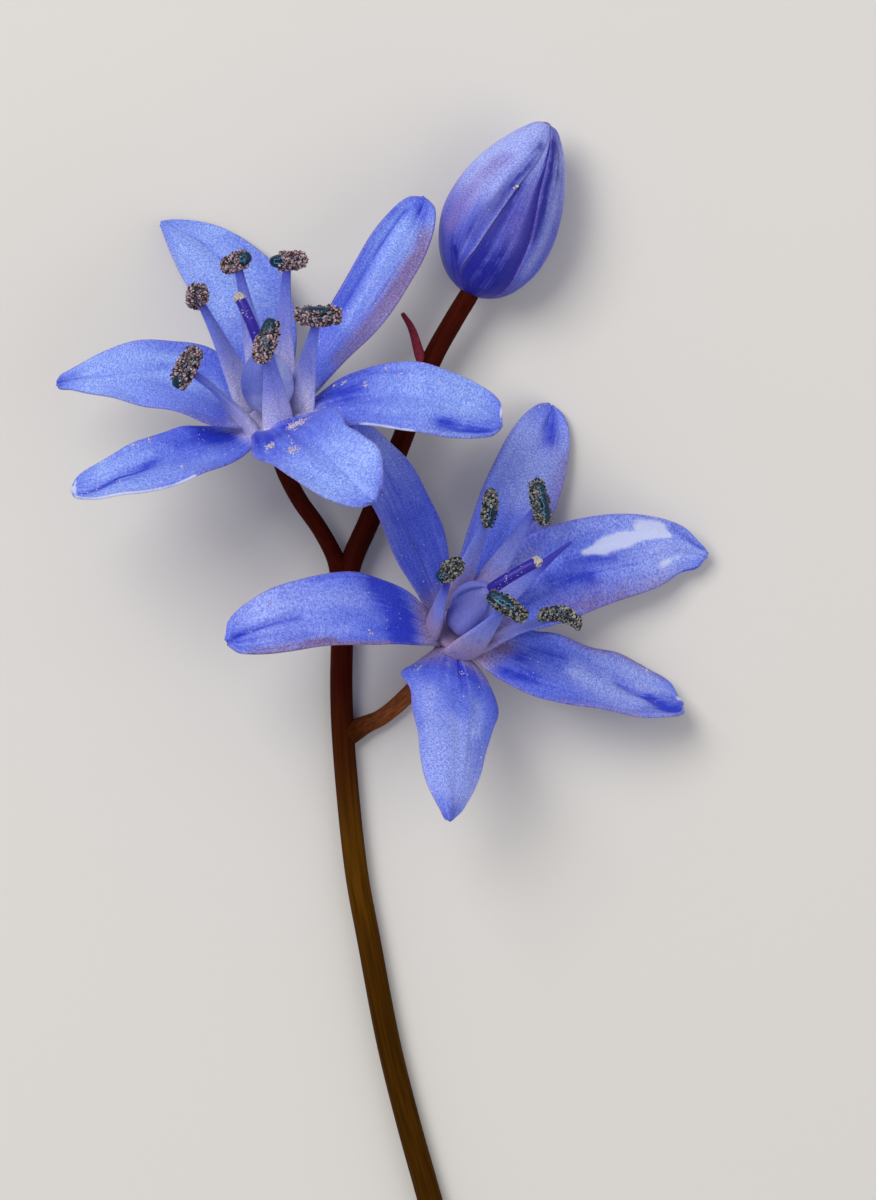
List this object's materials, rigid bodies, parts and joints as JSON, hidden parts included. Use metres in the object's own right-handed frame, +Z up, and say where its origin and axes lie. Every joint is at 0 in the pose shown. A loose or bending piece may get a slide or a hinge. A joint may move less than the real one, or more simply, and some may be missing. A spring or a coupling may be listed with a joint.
{
  "type": "alpine squill flower stem",
  "caption": "Cut stem of alpine squill with two open six-petalled blue flowers, a closed bud and a bract, lying on its side.",
  "frame": {"origin": "middle of the plant's footprint, on the surface it lies on", "axes": "+Y along the stem from its cut end towards the bud, +Z up from the surface, towards the faces of the flowers, +X to the right seen from above"},
  "size_m": [0.0274, 0.0494, 0.0111],
  "materials": {
    "petal": "satin",
    "stamen": "satin",
    "pistil": "satin",
    "bud": "satin",
    "stem": "satin"
  },
  "bodies": {
    "root": {"stem": "stem", "flower_left_tepals": "petal", "flower_left_stamens": "stamen", "flower_left_pistil": "pistil", "flower_right_tepals": "petal", "flower_right_stamens": "stamen", "flower_right_pistil": "pistil", "bud": "bud"}
  },
  "joints": []
}
